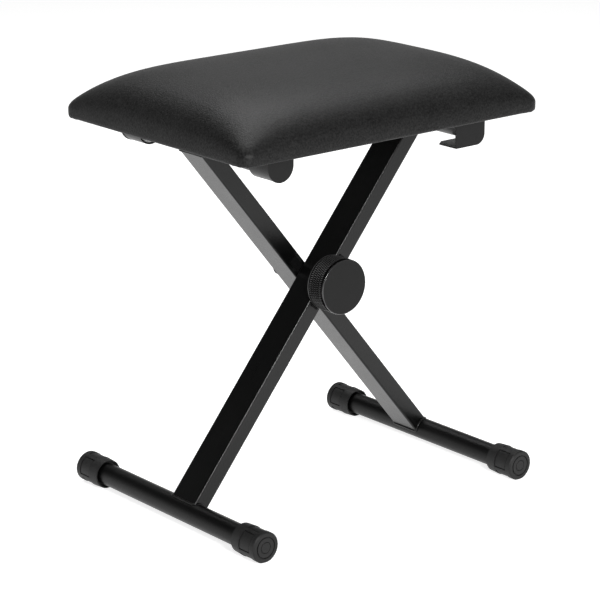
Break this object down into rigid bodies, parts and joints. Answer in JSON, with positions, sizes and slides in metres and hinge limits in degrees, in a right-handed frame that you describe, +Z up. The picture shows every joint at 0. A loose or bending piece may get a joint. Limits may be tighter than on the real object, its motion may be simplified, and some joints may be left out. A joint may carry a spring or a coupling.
{
  "type": "piano bench",
  "caption": "Folding bench with a padded rectangular seat on crossed tube legs, clamped at the crossing by a round knurled hand knob.",
  "frame": {"origin": "on the floor, midway between the four foot caps", "axes": "+Z up, +X along the long side of the seat towards the hooks, -Y towards the hand knob"},
  "size_m": [0.416, 0.321, 0.489],
  "materials": {
    "leg_paint": "satin powder coat, black",
    "tube_paint": "satin powder coat, black",
    "bracket_paint": "satin powder coat, black",
    "cap_rubber": "matte moulded",
    "plug_plastic": "moulded",
    "bush_nylon": "natural nylon",
    "sleeve_vinyl": "smooth vinyl sleeve",
    "black_steel": "black oxide",
    "zinc_steel": "zinc plated",
    "black_bolt": "black zinc",
    "knob_grip": "knurled",
    "knob_face": "fine matte",
    "leatherette": "matte, fine grain",
    "seat_foam": "open cell foam",
    "plywood": "raw plywood",
    "dust_cloth": "non-woven"
  },
  "bodies": {
    "rear_frame": {"rear_leg": "leg_paint", "right_foot_tube": "tube_paint", "right_foot_cap_front": "cap_rubber", "right_foot_cap_rear": "cap_rubber", "pivot_tube": "tube_paint", "pivot_tube_plug_front": "plug_plastic", "pivot_tube_plug_rear": "plug_plastic", "rear_lock_plate": "black_steel", "rear_leg_spacer": "zinc_steel", "pivot_bolt": "black_bolt"},
    "front_frame": {"front_leg": "leg_paint", "left_foot_tube": "tube_paint", "left_foot_cap_front": "cap_rubber", "left_foot_cap_rear": "cap_rubber", "catch_tube": "tube_paint", "catch_tube_plug_front": "plug_plastic", "catch_tube_plug_rear": "plug_plastic", "catch_sleeve_front": "sleeve_vinyl", "catch_sleeve_rear": "sleeve_vinyl", "front_lock_plate": "black_steel", "front_leg_spacer": "zinc_steel"},
    "seat": {"seat_cover": "leatherette", "seat_foam": "seat_foam", "seat_board": "plywood", "seat_dust_cloth": "dust_cloth", "cover_staples": "zinc_steel", "tee_nuts": "zinc_steel", "bracket_screws": "zinc_steel", "pivot_bracket_front": "bracket_paint", "pivot_bracket_rear": "bracket_paint", "pivot_bush_front": "bush_nylon", "pivot_bush_rear": "bush_nylon", "hook_bracket_front": "bracket_paint", "hook_bracket_rear": "bracket_paint"},
    "clamp": {"clamp_plate": "black_steel", "knob_washer": "zinc_steel"},
    "knob": {"knob_body": "knob_grip", "knob_cap": "knob_face", "knob_nut": "zinc_steel"}
  },
  "joints": [
    {"name": "frame_pivot", "type": "hinge", "parent": "rear_frame", "child": "front_frame", "pos_m": [0, 0, 0.2454], "axis": [0, -1, 0], "range_deg": [0, 66]},
    {"name": "seat_level", "type": "hinge", "parent": "rear_frame", "child": "seat", "pos_m": [-0.1396, 0, 0.415], "axis": [0, -1, 0], "range_deg": [0, 33]},
    {"name": "clamp_slide", "type": "slide", "parent": "front_frame", "child": "clamp", "axis": [0, -1, 0], "range_m": [0, 0.0025]},
    {"name": "knob_turn", "type": "hinge", "parent": "clamp", "child": "knob", "pos_m": [0, -0.042, 0.2454], "axis": [0, -1, 0], "range_deg": [0, 720]}
  ],
  "couplings": [
    {"joint": "seat_level", "follows": "frame_pivot", "ratio": 0.5},
    {"joint": "clamp_slide", "follows": "knob_turn", "m_per_rad": 0.00019894}
  ]
}
